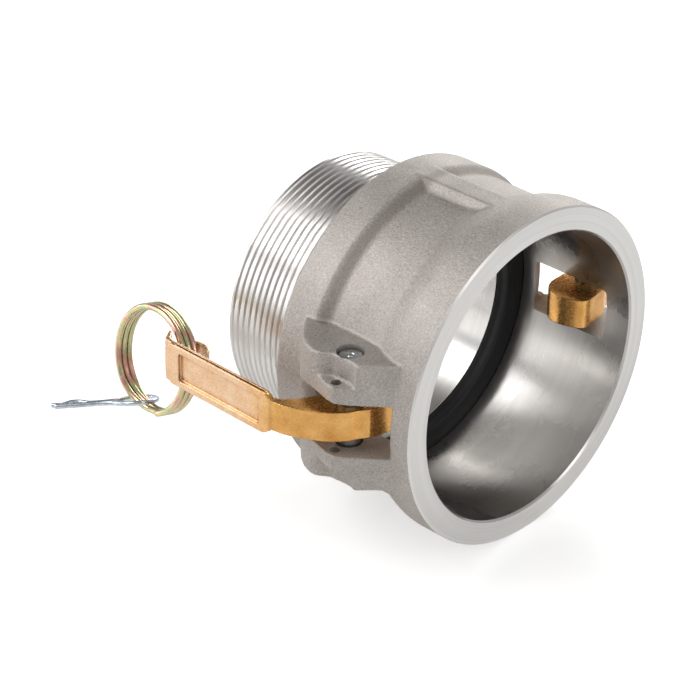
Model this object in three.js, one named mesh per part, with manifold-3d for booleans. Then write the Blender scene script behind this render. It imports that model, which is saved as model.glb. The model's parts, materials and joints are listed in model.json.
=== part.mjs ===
// Cam and groove coupler, type B: female cam socket, male taper pipe thread, size DN100 (4 in).
// Frame: millimetres. The shapes below are drawn with x = 0 on the mouth plane and the bore along X,
// +X out of the mouth, +Z parallel to the two pivot pins, cam arms at -Y (left) and +Y (right).
// The finished group is moved along X by MOUTH_X, so the origin is the middle of the overall box.
// Sizes named R_ or r are distances from the bore axis, and "half" is a half width along Z.
import * as THREE from 'three';
import { mergeVertices } from 'three/addons/utils/BufferGeometryUtils.js';
import Module from 'manifold-3d';

const wasm = await Module();
wasm.setup();
const { degToRad } = THREE.MathUtils;

// ---- driving dimensions -------------------------------------------------------------------
const MOUTH_X = 79.12;         // mouth plane from the origin, half the overall length
const LENGTH = 112.5;          // mouth plane to thread end
const MOUTH_CHAMFER = 0.7;     // on both edges of the mouth face
const R_FLANGE = 70.6;         // cast band round the mouth
const R_FACE = R_FLANGE - MOUTH_CHAMFER;
const R_BORE = 60.3;           // socket bore
const R_BORE_MOUTH = R_BORE + MOUTH_CHAMFER;
const X_GROOVE_FRONT = -56.2;  // gasket groove, front wall
const X_GROOVE_REAR = -63.2;   // gasket groove, rear wall
const R_GROOVE = 62.3;         // gasket groove, outer wall
const R_WATERWAY = 51.0;       // through bore behind the gasket
const END_CHAMFER = 1;         // waterway edge at the thread end
const R_PANEL = 65.9;          // recessed panels between the lugs and the parting ribs
const R_COLLAR = 68.6;         // rear collar
const X_COLLAR_REAR = -72.6;
const R_RELIEF = 55.4;         // groove between collar and thread
const R_THREAD_BIG = 57.2;     // thread crest at the collar
const R_THREAD_END = 56.5;     // thread crest at the free end
const GASKET = { rIn: 50.8, rOut: 61.9, front: -56.5, thick: 6.35, chamfer: 0.5 };

const RIB = { rear: -60, length: 46 };
const LUG_LEDGE = 18.0;        // ledge with the safety clip hole
const LUG_TOP = 27.4;          // outer side of a lug
const WALL_INSIDE_Y = -50;     // inside the bore wall: lug roots start and slots end here
const PIN = { x: -30.8, r: 70.4, radius: 4.75, half: LUG_TOP - 1.2, chamfer: 0.5 };
const PIN_HOLE = { x: PIN.x, r: PIN.r, radius: PIN.radius + 0.35, segments: 24 };
const SAFETY_HOLE = { x: -29.6, r: 79.0, radius: 2.0, segments: 14 };

const SLOT_HALF = 11.3;        // half the gap between the two lugs of a pair
const SLOT_SWEEP = 21.7;       // slot clearance round the pin
const SLOT_FRONT = -15.2;      // front wall of the slot at the bore
const SLOT_ARC_STEPS = 10;

const ARM_HALF = 6.3;          // cam end
const HANDLE = { half: 9.0, out: 93.0, in: 90.3, front: -51, rear: -104, bend: -103, tip: -108 };
const EYE = { x: -105.6, r: 83.3, radius: 7.9, half: 2.3, segments: 30 };
const EYE_HOLE = { x: EYE.x, r: EYE.r, radius: 6.0, segments: 24 };
const LABEL = { rear: -101.5, front: -56.5, floor: 92.2, half: 6.0 }; // blank label recess

const BODY_CUT_HALF = 40;      // cutters longer than the parts they pass through
const ARM_CUT_HALF = 20;
const SEG = 72;                // facets round the body

// ---- outlines -----------------------------------------------------------------------------
// Outside of the body: [x, r]
const BODY_PROFILE = [
  [0, 0], [0, R_FACE], [-MOUTH_CHAMFER, R_FLANGE], [-13, R_FLANGE], [-17, 70.0],
  [-21.5, 68.2], [-25, 66.7], [-29, 66.1], [-50.5, R_PANEL], [-52.5, 66.4], [-55, 67.6],
  [-57.5, R_COLLAR], [-71.2, R_COLLAR], [X_COLLAR_REAR, 67.4], [X_COLLAR_REAR, 60.5],
  [-74, R_RELIEF], [-76.4, R_RELIEF], [-78, R_THREAD_BIG],
  [-LENGTH + 1.6, R_THREAD_END], [-LENGTH, 55.0], [-LENGTH, 0],
];
// Socket, gasket groove and waterway, run past both ends: [x, r]
const INSIDE_PROFILE = [
  [5, 0], [5, R_BORE_MOUTH], [0, R_BORE_MOUTH], [-MOUTH_CHAMFER, R_BORE],
  [X_GROOVE_FRONT, R_BORE], [X_GROOVE_FRONT, R_GROOVE],
  [X_GROOVE_REAR, R_GROOVE], [X_GROOVE_REAR, R_WATERWAY],
  [-LENGTH + END_CHAMFER, R_WATERWAY], [-LENGTH, R_WATERWAY + END_CHAMFER],
  [-LENGTH - 5, R_WATERWAY + END_CHAMFER], [-LENGTH - 5, 0],
];
// Section of the top parting rib: [y, z]
const RIB_SECTION = [[-8.2, 60], [8.2, 60], [8.0, 65.6], [4.8, 68.5], [-4.8, 68.5], [-8.0, 65.6]];

// Left lug, each half as two matching sections at heights z: [x, y].
// The foot stands beside the slot up to the ledge.
const LUG_FOOT = {
  low: {
    z: SLOT_HALF - 1.5,
    outline: [
      [-62, -66], [-56, -71.6], [-50, -78], [-44, -79.8], [-37.3, -81.2], [-31.5, -82.8],
      [-27.2, -83.2], [-24.5, -81.8], [-20.5, -78.8], [-15, -74], [-9.8, -69.4],
      [-9.8, WALL_INSIDE_Y], [-62, WALL_INSIDE_Y],
    ],
  },
  high: {
    z: LUG_LEDGE,
    outline: [
      [-61, -65.6], [-55.5, -71.8], [-50.4, -76.8], [-44.2, -79.3], [-38.4, -80.0],
      [-31.8, -82.0], [-27.6, -82.5], [-24.9, -80.9], [-20.9, -77.7], [-15.4, -72.7],
      [-10.1, -68.2], [-10.1, WALL_INSIDE_Y], [-61, WALL_INSIDE_Y],
    ],
  },
};
// The head is the shoulder and the front block, with the pin boss between.
const LUG_HEAD = {
  low: {
    z: LUG_LEDGE - 1.0,
    outline: [
      [-60.9, -65.3], [-57.4, -69.3], [-54.6, -72.6], [-51.4, -75.8], [-46.6, -78.4],
      [-42.3, -79.5], [-38.9, -79.6], [-36.9, -78.5], [-34.3, -76.8], [-30.8, -76.7],
      [-27, -76.3], [-23.2, -77.0], [-21.2, -77.6], [-19.8, -76.4], [-16.5, -73.3],
      [-13.4, -70.6], [-10.2, -68.0], [-10.2, WALL_INSIDE_Y], [-60.9, WALL_INSIDE_Y],
    ],
  },
  high: {
    z: LUG_TOP,
    outline: [
      [-60.5, -64.5], [-57.2, -68.5], [-54.7, -71.6], [-51.9, -74.8], [-46.8, -78.2],
      [-42.5, -79.4], [-39.4, -79.4], [-37.2, -78.3], [-34.4, -76.5], [-30.8, -76.4],
      [-27, -75.9], [-23.4, -76.0], [-21.6, -76.4], [-20.2, -74.9], [-17, -71.6],
      [-14.1, -68.8], [-10.5, -65.8], [-10.5, WALL_INSIDE_Y], [-60.5, WALL_INSIDE_Y],
    ],
  },
};
// Slot outline behind and outside its rounded back: [x, y]
const SLOT_OUTER = [[-56.5, -73], [-66, -73], [-66, -100], [-8.6, -100], [-8.6, -72.5], [-10, -69.8]];

// Cam end of the arm and its neck to the handle: [x, r]
const HUB = [
  [-57, 93], [-50.6, 92.2], [-45, 91.2], [-39, 88.6], [-32.5, 84.9], [-29.2, 82.3],
  [-26.6, 79.6], [-24.2, 76.4], [-22.6, 72.8], [-20.6, 69.8], [-19.9, 67.2], [-19.3, 64.4],
  [-18.5, 60.5], [-18.0, 56.8], [-18.3, 54.3], [-20.0, 52.4], [-23.4, 50.8], [-27.0, 49.7],
  [-30.6, 49.6], [-34.2, 50.7], [-37.2, 53.2], [-39.0, 56.6], [-39.7, 60], [-40.2, 68],
  [-40.8, 73], [-42.4, 78], [-44.6, 82.4], [-47.4, 86], [-50.6, 88.8], [-57, 90.3],
];
// Bent-in tip of the handle: [x, r]
const HANDLE_END = [
  [HANDLE.bend, HANDLE.out], [HANDLE.tip, HANDLE.out], [-109.7, 92.2], [-110.9, 90.4],
  [-113.4, 86.4], [-112.3, 86.2], [-109.4, 89.4], [-107.2, HANDLE.in], [HANDLE.bend, HANDLE.in],
];
// Web between the handle and the eye: [x, r]
const EYE_WEB = [[-110.6, 91], [-113.0, EYE.r], [-98.2, EYE.r], [-95.6, 91]];

// ---- solids -------------------------------------------------------------------------------
// Welds a geometry down to its positions and turns its faces outward
function closed(geometry) {
  for (const name of Object.keys(geometry.attributes)) {
    if (name !== 'position') geometry.deleteAttribute(name);
  }
  const welded = mergeVertices(geometry, 1e-4);
  const index = welded.index.array;
  const corner = (i) => new THREE.Vector3().fromBufferAttribute(welded.attributes.position, index[i]);
  let volume = 0;
  for (let i = 0; i < index.length; i += 3) {
    volume += corner(i).dot(corner(i + 1).cross(corner(i + 2)));
  }
  if (volume < 0) flipFaces(index);
  return welded;
}

function flipFaces(index) {
  for (let i = 0; i < index.length; i += 3) {
    [index[i + 1], index[i + 2]] = [index[i + 2], index[i + 1]];
  }
}

function meshSolid(vertProperties, triVerts) {
  return new wasm.Manifold(new wasm.Mesh({ numProp: 3, vertProperties, triVerts }));
}

function toManifold(geometry) {
  const welded = closed(geometry);
  const index = welded.index.array;
  const triangles = [];
  for (let i = 0; i < index.length; i += 3) {
    const [a, b, c] = index.slice(i, i + 3);
    if (a !== b && b !== c && a !== c) triangles.push(a, b, c);
  }
  const positions = new Float32Array(welded.attributes.position.array);
  return meshSolid(positions, new Uint32Array(triangles));
}

function toGeometry(solid) {
  const mesh = solid.getMesh();
  const geometry = new THREE.BufferGeometry();
  const positions = new Float32Array(mesh.vertProperties);
  geometry.setAttribute('position', new THREE.BufferAttribute(positions, 3));
  geometry.setIndex(new THREE.BufferAttribute(new Uint32Array(mesh.triVerts), 1));
  geometry.computeVertexNormals();
  return geometry;
}

const toVectors = (points) => points.map(([x, y]) => new THREE.Vector2(x, y));

// Solid of revolution about X from a list of [x, r], closed back to its first point
function revolve(profile) {
  const points = toVectors([...profile, profile[0]].map(([x, r]) => [r, x]));
  const geometry = new THREE.LatheGeometry(points, SEG, Math.PI / SEG);
  return toManifold(geometry.rotateZ(-Math.PI / 2)); // lathe +Y -> +X
}

function extrude(outline, depth) {
  const shape = new THREE.Shape(toVectors(outline));
  return new THREE.ExtrudeGeometry(shape, { depth, bevelEnabled: false });
}

// Prism of an [x, y] outline, from z = -half to z = half
function prism(outline, half) {
  return toManifold(extrude(outline, 2 * half).translate(0, 0, -half));
}

// Ruled solid between two counterclockwise outlines with the same number of corners
function loft({ low, high }) {
  const count = low.outline.length;
  const positions = [];
  for (const { z, outline } of [low, high]) {
    for (const [x, y] of outline) positions.push(x, y, z);
  }
  const cap = (outline) => THREE.ShapeUtils.triangulateShape(toVectors(outline), []);
  const index = [];
  for (const [i, j, k] of cap(low.outline)) index.push(k, j, i);
  for (const [i, j, k] of cap(high.outline)) index.push(count + i, count + j, count + k);
  for (let i = 0; i < count; i++) {
    const j = (i + 1) % count;
    index.push(i, j, count + j, i, count + j, count + i);
  }
  const geometry = new THREE.BufferGeometry();
  geometry.setAttribute('position', new THREE.Float32BufferAttribute(positions, 3));
  geometry.setIndex(index);
  return toManifold(geometry);
}

function circle(centreX, centreY, radius, count) {
  return Array.from({ length: count }, (_, i) => {
    const angle = 2 * Math.PI * i / count;
    return [centreX + radius * Math.cos(angle), centreY + radius * Math.sin(angle)];
  });
}

// Mirror image across a plane through the origin: axis 1 flips Y, axis 2 flips Z
function mirrored(solid, axis) {
  const mesh = solid.getMesh();
  const positions = new Float32Array(mesh.vertProperties);
  const index = new Uint32Array(mesh.triVerts);
  for (let i = axis; i < positions.length; i += 3) positions[i] = -positions[i];
  flipFaces(index);
  return meshSolid(positions, index);
}
const mirrorY = (solid) => mirrored(solid, 1);
const mirrorZ = (solid) => mirrored(solid, 2);

// ---- body ---------------------------------------------------------------------------------
// Parting rib on top, along X
function makeRib() {
  const unit = (x, y, z) => new THREE.Vector3(x, y, z);
  const sectionToYZ = new THREE.Matrix4().makeBasis(unit(0, 1, 0), unit(0, 0, 1), unit(1, 0, 0));
  const geometry = extrude(RIB_SECTION, RIB.length).applyMatrix4(sectionToYZ);
  return toManifold(geometry.translate(RIB.rear, 0, 0));
}

// Pair of lugs on the left side
function makeLugs() {
  const lug = loft(LUG_FOOT).add(loft(LUG_HEAD));
  return lug.add(mirrorZ(lug));
}

// Left arm slot: a round-backed pocket, open outward and through the bore wall
function makeSlot() {
  const outline = [[SLOT_FRONT, WALL_INSIDE_Y], [PIN.x, WALL_INSIDE_Y]];
  // quarter round the pin, from straight inward to straight back
  for (let i = 0; i <= SLOT_ARC_STEPS; i++) {
    const angle = Math.PI / 2 + (Math.PI / 2) * i / SLOT_ARC_STEPS;
    const x = PIN.x + SLOT_SWEEP * Math.cos(angle);
    outline.push([x, -PIN.r + SLOT_SWEEP * Math.sin(angle)]);
  }
  return prism([...outline, ...SLOT_OUTER], SLOT_HALF);
}

function makeBody() {
  const rib = makeRib();
  const lugs = makeLugs();
  const slot = makeSlot();
  let body = revolve(BODY_PROFILE).add(rib).add(mirrorZ(rib)).add(lugs).add(mirrorY(lugs));
  body = body.subtract(slot).subtract(mirrorY(slot)).subtract(revolve(INSIDE_PROFILE));
  for (const side of [-1, 1]) {
    for (const { x, r, radius, segments } of [PIN_HOLE, SAFETY_HOLE]) {
      body = body.subtract(prism(circle(x, side * r, radius, segments), BODY_CUT_HALF));
    }
  }
  return body;
}

// ---- gasket and pivot pins ----------------------------------------------------------------
function makeGasket() {
  const { rIn, rOut, front, thick, chamfer } = GASKET;
  const rear = front - thick;
  return revolve([
    [front, rIn + chamfer], [front, rOut], [rear, rOut], [rear, rIn + chamfer],
    [rear + chamfer, rIn], [front - chamfer, rIn],
  ]);
}

// side is -1 for left, 1 for right
function makePin(side) {
  const { x, r, radius, half, chamfer } = PIN;
  const profile = toVectors([
    [0, -half], [radius - chamfer, -half], [radius, -half + chamfer],
    [radius, half - chamfer], [radius - chamfer, half], [0, half],
  ]);
  const geometry = new THREE.LatheGeometry(profile, 24).rotateX(Math.PI / 2);
  return toManifold(geometry.translate(x, side * r, 0));
}

// ---- left cam arm, closed -----------------------------------------------------------------
const rectangle = (rear, front, inner, outer) => [
  [rear, outer], [front, outer], [front, inner], [rear, inner],
];

// Prism of an [x, r] outline on the left side
const leftPrism = (outline, half) => prism(outline.map(([x, r]) => [x, -r]), half);

const leftDisc = ({ x, r, radius, segments }, half) =>
  leftPrism(circle(x, r, radius, segments), half);

function makeArm() {
  const strap = rectangle(HANDLE.rear, HANDLE.front, HANDLE.in, HANDLE.out);
  // the cutter stands clear of the handle's outer face
  const recess = [
    [LABEL.rear, LABEL.floor], [LABEL.front, LABEL.floor],
    [LABEL.front, HANDLE.out + 2], [LABEL.rear, HANDLE.out + 2],
  ];
  return leftPrism(HUB, ARM_HALF)
    .add(leftPrism(strap, HANDLE.half))
    .add(leftPrism(HANDLE_END, HANDLE.half))
    .add(leftDisc(EYE, EYE.half))
    .add(leftPrism(EYE_WEB, EYE.half))
    .subtract(leftDisc(EYE_HOLE, ARM_CUT_HALF))
    .subtract(leftPrism(recess, LABEL.half))
    .subtract(leftDisc(PIN_HOLE, ARM_CUT_HALF))
    .subtract(leftDisc(SAFETY_HOLE, ARM_CUT_HALF));
}

// ---- left pull ring -----------------------------------------------------------------------
const RING = {
  rMean: 21.5, wireRadius: 2.7 / 2, pitch: 2.68,
  centre: new THREE.Vector3(-124.85, -83.55, -9.8),
  yaw: degToRad(-5), tilt: degToRad(-12),
};
// Ring frame: a level direction in its plane, its axis, and the upward direction in its plane
const ringLevel = new THREE.Vector3(Math.cos(RING.yaw), Math.sin(RING.yaw), 0);
const ringAxis = new THREE.Vector3(
  -Math.sin(RING.yaw) * Math.cos(RING.tilt),
  Math.cos(RING.yaw) * Math.cos(RING.tilt),
  Math.sin(RING.tilt),
);
const ringUp = new THREE.Vector3().crossVectors(ringLevel, ringAxis);

// Three wire turns side by side, each an arc (degrees) of the section
const RING_TURNS = [
  { along: -RING.pitch, from: -150, to: 60, steps: 5 },
  { along: 0, from: -60, to: 60, steps: 2 },
  { along: RING.pitch, from: -60, to: 150, steps: 5 },
];

function makeRing() {
  const { rMean, wireRadius, centre } = RING;
  const section = [];
  for (const { along, from, to, steps } of RING_TURNS) {
    for (let i = 0; i <= steps; i++) {
      const angle = degToRad(from + (to - from) * i / steps);
      section.push([rMean + wireRadius * Math.cos(angle), along + wireRadius * Math.sin(angle)]);
    }
  }
  section.push([rMean - wireRadius * 0.9, 0]); // middle of the inner side
  section.push(section[0]);
  // welded before it is placed, while the lathe seam still lines up
  const geometry = closed(new THREE.LatheGeometry(toVectors(section), 44));
  const placement = new THREE.Matrix4().makeBasis(ringLevel, ringAxis, ringUp).setPosition(centre);
  return toManifold(geometry.applyMatrix4(placement));
}

// ---- left safety clip ---------------------------------------------------------------------
const CLIP = {
  wireRadius: 1.05, wireFacets: 8, steps: 84,
  ringAngle: degToRad(254),          // where the clip hangs on the ring
  direction: [-0.690, -0.719, -0.083],
  up: [-0.324, 0.203, 0.927],        // rough normal of the clip's plane
};
// Centre line, [along, across, up]: free end, inner leg, eye, waved leg, flared end
const CLIP_PATH = [
  [34, 0.9, 0], [24, 1.2, 0], [16, 1.3, 0], [11, 2.2, 0], [7.5, 5.0, 0], [3.6, 7.2, 0],
  [-0.6, 7.4, 0], [-4.6, 5.4, 0], [-6.6, 1.9, 0], [-6.6, -1.9, 0], [-4.6, -5.4, 0],
  [-0.6, -7.4, 0], [3.6, -7.2, 0], [7.5, -5.0, 0], [11, -2.2, 0], [16, -1.2, 0],
  [21, -1.3, 0.1], [24.5, -2.5, 0.6], [28, -2.6, 0.7], [30.5, -1.5, 0.2], [32.5, -1.6, 0],
  [35.8, -3.0, 0],
];

function makeClip() {
  const origin = RING.centre.clone()
    .addScaledVector(ringLevel, RING.rMean * Math.cos(CLIP.ringAngle))
    .addScaledVector(ringUp, RING.rMean * Math.sin(CLIP.ringAngle));
  const along = new THREE.Vector3(...CLIP.direction).normalize();
  const up = new THREE.Vector3(...CLIP.up);
  up.addScaledVector(along, -up.dot(along)).normalize();
  const across = new THREE.Vector3().crossVectors(up, along);
  const points = CLIP_PATH.map(([a, b, c]) => origin.clone()
    .addScaledVector(along, a).addScaledVector(across, b).addScaledVector(up, c));
  const extrudePath = new THREE.CatmullRomCurve3(points, false, 'centripetal');
  const wire = new THREE.Shape(toVectors(circle(0, 0, CLIP.wireRadius, CLIP.wireFacets)));
  const options = { steps: CLIP.steps, bevelEnabled: false, extrudePath };
  return toManifold(new THREE.ExtrudeGeometry(wire, options));
}

// ---- assembly -----------------------------------------------------------------------------
const material = (color, finish) => new THREE.MeshStandardMaterial({ color, ...finish });
const CAST = material(0xb9b2ac, { roughness: 0.6, metalness: 0.9 });
const RUBBER = material(0x191919, { roughness: 0.75, metalness: 0 });
const BRASS = material(0xd9a05a, { roughness: 0.35, metalness: 1 });
const STEEL = material(0xc9cdd0, { roughness: 0.3, metalness: 1 });
const YELLOW_ZINC = material(0xc9a987, { roughness: 0.3, metalness: 1 });

const root = new THREE.Group();
root.name = 'camlock_coupler';
root.position.x = MOUTH_X;

function put(name, solid, finish) {
  const mesh = new THREE.Mesh(toGeometry(solid), finish);
  mesh.name = name;
  root.add(mesh);
}
function putPair(name, left, right, finish) {
  put(`${name}_left`, left, finish);
  put(`${name}_right`, right, finish);
}

put('body', makeBody(), CAST);
put('gasket', makeGasket(), RUBBER);
putPair('pivot_pin', makePin(-1), makePin(1), STEEL);
const mirroredPairs = [
  ['cam_arm', makeArm(), BRASS],
  ['pull_ring', makeRing(), YELLOW_ZINC],
  ['safety_clip', makeClip(), STEEL],
];
for (const [name, left, finish] of mirroredPairs) putPair(name, left, mirrorY(left), finish);

export default root;
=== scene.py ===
import bpy
import bmesh
import json
import math
import numpy as np
from mathutils import Matrix, Vector

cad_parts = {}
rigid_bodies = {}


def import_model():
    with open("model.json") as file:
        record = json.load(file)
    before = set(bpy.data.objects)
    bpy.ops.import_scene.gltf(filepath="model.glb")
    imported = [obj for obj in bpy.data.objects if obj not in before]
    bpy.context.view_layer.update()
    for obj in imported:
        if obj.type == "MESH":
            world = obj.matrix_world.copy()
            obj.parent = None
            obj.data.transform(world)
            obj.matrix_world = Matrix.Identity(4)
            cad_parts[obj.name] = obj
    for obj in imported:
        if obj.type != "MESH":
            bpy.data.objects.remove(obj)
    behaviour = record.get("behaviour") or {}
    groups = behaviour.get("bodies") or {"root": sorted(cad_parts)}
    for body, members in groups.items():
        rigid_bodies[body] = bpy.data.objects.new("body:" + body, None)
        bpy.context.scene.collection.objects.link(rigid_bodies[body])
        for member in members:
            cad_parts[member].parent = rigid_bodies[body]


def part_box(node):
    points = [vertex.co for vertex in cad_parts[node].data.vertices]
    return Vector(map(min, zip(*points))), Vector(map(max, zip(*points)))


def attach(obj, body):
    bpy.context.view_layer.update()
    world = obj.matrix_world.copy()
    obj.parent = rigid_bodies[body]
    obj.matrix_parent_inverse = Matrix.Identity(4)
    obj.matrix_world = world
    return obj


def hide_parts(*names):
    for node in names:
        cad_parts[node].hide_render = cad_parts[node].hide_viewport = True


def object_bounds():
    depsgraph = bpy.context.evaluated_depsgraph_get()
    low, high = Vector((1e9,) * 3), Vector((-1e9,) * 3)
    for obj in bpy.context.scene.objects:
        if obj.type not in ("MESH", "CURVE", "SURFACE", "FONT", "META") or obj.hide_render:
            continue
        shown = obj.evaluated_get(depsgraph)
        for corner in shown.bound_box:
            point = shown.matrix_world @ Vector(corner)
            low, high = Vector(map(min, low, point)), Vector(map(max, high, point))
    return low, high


stray = list(bpy.data.objects)
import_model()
cad_lo, cad_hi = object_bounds()
for o in stray:
    bpy.data.objects.remove(o)
scene = bpy.context.scene

# Shapes are drawn in millimetres with x = 0 on the mouth plane and +X out of the mouth, then moved into the
# frame. MX is the mouth plane's x in the frame.
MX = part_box("body")[1].x * 1000.0
TO_FRAME = Matrix.Translation((MX / 1000.0, 0, 0)) @ Matrix.Scale(0.001, 4)

PIN = dict(x=-30.8, r=70.4, rad=4.75)
ARM_HALF, HANDLE_HALF = 6.3, 9.0
HANDLE_OUT, HANDLE_IN = 93.0, 90.3
EYE = dict(x=-105.6, r=83.3, hole=6.0, rad=7.9, half=2.3)
RING = dict(rmean=21.5, wire=1.34, pitch=2.68, centre=(-124.85, -83.55, -9.8), yaw=-5.0, tilt=-12.0)
SAFETY = (-29.6, 79.0)
CLIP = dict(wire=1.05, ang=254.0, dir=(-0.690, -0.719, -0.083), up=(-0.324, 0.203, 0.927))

# ------------------------------------------------------------------------------------------ mesh tools


def new_obj(name, verts, faces):
    me = bpy.data.meshes.new(name)
    me.from_pydata([tuple(map(float, v)) for v in verts], [], [tuple(int(i) for i in f) for f in faces])
    me.validate()
    ob = bpy.data.objects.new(name, me)
    scene.collection.objects.link(ob)
    bm = bmesh.new()
    bm.from_mesh(me)
    if bm.calc_volume(signed=True) < 0:
        bmesh.ops.reverse_faces(bm, faces=bm.faces)
    bm.to_mesh(me)
    bm.free()
    return ob


def revolve(name, prof, seg=256, phase=0.0):
    """closed solid of revolution about X from a closed list of (x, r)"""
    verts, rows = [], []
    ang = [2 * math.pi * k / seg + phase for k in range(seg)]
    for x, r in prof:
        if r < 1e-6:
            rows.append([len(verts)])
            verts.append((x, 0, 0))
        else:
            rows.append(list(range(len(verts), len(verts) + seg)))
            verts += [(x, r * math.sin(a), r * math.cos(a)) for a in ang]
    faces = []
    n = len(rows)
    for i in range(n):
        a, b = rows[i], rows[(i + 1) % n]
        if len(a) == 1 and len(b) == 1:
            continue
        for k in range(seg):
            j = (k + 1) % seg
            if len(a) == 1:
                faces.append((a[0], b[j], b[k]))
            elif len(b) == 1:
                faces.append((a[k], a[j], b[0]))
            else:
                faces.append((a[k], a[j], b[j], b[k]))
    return new_obj(name, verts, faces)


def prism(name, poly, z0, z1):
    n = len(poly)
    verts = [(x, y, z0) for x, y in poly] + [(x, y, z1) for x, y in poly]
    faces = [tuple(range(n - 1, -1, -1)), tuple(range(n, 2 * n))]
    faces += [(i, (i + 1) % n, n + (i + 1) % n, n + i) for i in range(n)]
    return new_obj(name, verts, faces)


def loft(name, a, z0, b, z1):
    n = len(a)
    verts = [(x, y, z0) for x, y in a] + [(x, y, z1) for x, y in b]
    faces = [tuple(range(n - 1, -1, -1)), tuple(range(n, 2 * n))]
    for i in range(n):
        j = (i + 1) % n
        faces += [(i, j, n + j), (i, n + j, n + i)]
    return new_obj(name, verts, faces)


def circle(cx, cy, r, n=48, jag=0.0, seed=1):
    rng = np.random.default_rng(seed)
    out = []
    for i in range(n):
        a = 2 * math.pi * i / n
        q = r * (1 + jag * (rng.random() - 0.5))
        out.append((cx + q * math.cos(a), cy + q * math.sin(a)))
    return out


def prism_y(name, poly, y0, y1):
    """prism along Y from a list of (x, z)"""
    n = len(poly)
    verts = [(x, y0, z) for x, z in poly] + [(x, y1, z) for x, z in poly]
    faces = [tuple(range(n - 1, -1, -1)), tuple(range(n, 2 * n))]
    faces += [(i, (i + 1) % n, n + (i + 1) % n, n + i) for i in range(n)]
    return new_obj(name, verts, faces)


def rounded(x0, x1, y0, y1, r, n=6):
    out = []
    for cx, cy, a0 in ((x1 - r, y1 - r, 0), (x0 + r, y1 - r, 90), (x0 + r, y0 + r, 180), (x1 - r, y0 + r, 270)):
        for i in range(n + 1):
            a = math.radians(a0 + 90 * i / n)
            out.append((cx + r * math.cos(a), cy + r * math.sin(a)))
    return out


def smooth_loop(pts, step=1.2, closed=True):
    """Catmull-Rom through the points, resampled"""
    P = [np.array(p, float) for p in pts]
    n = len(P)
    out = []
    for i in range(n if closed else n - 1):
        p0 = P[(i - 1) % n] if closed or i > 0 else P[0]
        p1, p2 = P[i % n], P[(i + 1) % n]
        p3 = P[(i + 2) % n] if closed or i + 2 < n else P[-1]
        m = max(1, int(np.linalg.norm(p2 - p1) / step))
        for k in range(m):
            t = k / m
            out.append(0.5 * ((2 * p1) + (-p0 + p2) * t + (2 * p0 - 5 * p1 + 4 * p2 - p3) * t * t + (-p0 + 3 * p1 - 3 * p2 + p3) * t ** 3))
    if not closed:
        out.append(P[-1])
    return out


def bake(ob):
    dg = bpy.context.evaluated_depsgraph_get()
    me = bpy.data.meshes.new_from_object(ob.evaluated_get(dg))
    ob.modifiers.clear()
    old = ob.data
    ob.data = me
    bpy.data.meshes.remove(old)
    return ob


def volume(ob):
    bm = bmesh.new()
    bm.from_mesh(ob.data)
    v = bm.calc_volume(signed=True)
    bm.free()
    return v


def boolean(ob, other, op, keep=False):
    before = volume(ob)
    m = ob.modifiers.new("b", "BOOLEAN")
    m.object = other
    m.operation = op
    m.solver = "MANIFOLD"
    bake(ob)
    change = volume(ob) - before
    if (op == "UNION" and change <= 0) or (op == "DIFFERENCE" and change >= 0):
        raise RuntimeError("a " + op + " with " + other.name + " did nothing")
    if not keep:
        bpy.data.objects.remove(other)
    return ob


def mirrored(ob, axis, name):
    me = ob.data.copy()
    M = Matrix.Scale(-1, 4, Vector([1.0 if i == axis else 0.0 for i in range(3)]))
    me.transform(M)
    me.flip_normals()
    c = bpy.data.objects.new(name, me)
    scene.collection.objects.link(c)
    return c


def remesh(ob, voxel, smooth=6, factor=0.5):
    m = ob.modifiers.new("r", "REMESH")
    m.mode = "VOXEL"
    m.voxel_size = voxel
    m.adaptivity = 0.0
    if smooth:
        s = ob.modifiers.new("s", "SMOOTH")
        s.factor = factor
        s.iterations = smooth
    return bake(ob)


def co_of(me):
    a = np.empty(len(me.vertices) * 3)
    me.vertices.foreach_get("co", a)
    return a.reshape(-1, 3)


def set_co(me, a):
    me.vertices.foreach_set("co", np.asarray(a, float).ravel())
    me.update()


def shade(ob, deg=32.0):
    me = ob.data
    bm = bmesh.new()
    bm.from_mesh(me)
    lim = math.radians(deg)
    for f in bm.faces:
        f.smooth = True
    for e in bm.edges:
        if len(e.link_faces) == 2:
            same = e.link_faces[0].material_index == e.link_faces[1].material_index
            e.smooth = e.calc_face_angle(0.0) < (lim if same else math.radians(8))
    bm.to_mesh(me)
    bm.free()


def finish_piece(ob, name, body, nodes, mats=None):
    if mats is not None:
        keep = np.empty(len(ob.data.polygons), int)
        ob.data.polygons.foreach_get("material_index", keep)
        ob.data.materials.clear()
        for m in mats:
            ob.data.materials.append(m)
        ob.data.polygons.foreach_set("material_index", np.clip(keep, 0, len(mats) - 1))
    ob.data.transform(TO_FRAME)
    ob.data.update()
    ob.name = name
    ob.data.name = name
    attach(ob, body)
    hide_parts(*nodes)
    return ob


# ------------------------------------------------------------------------------------------ materials


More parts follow.
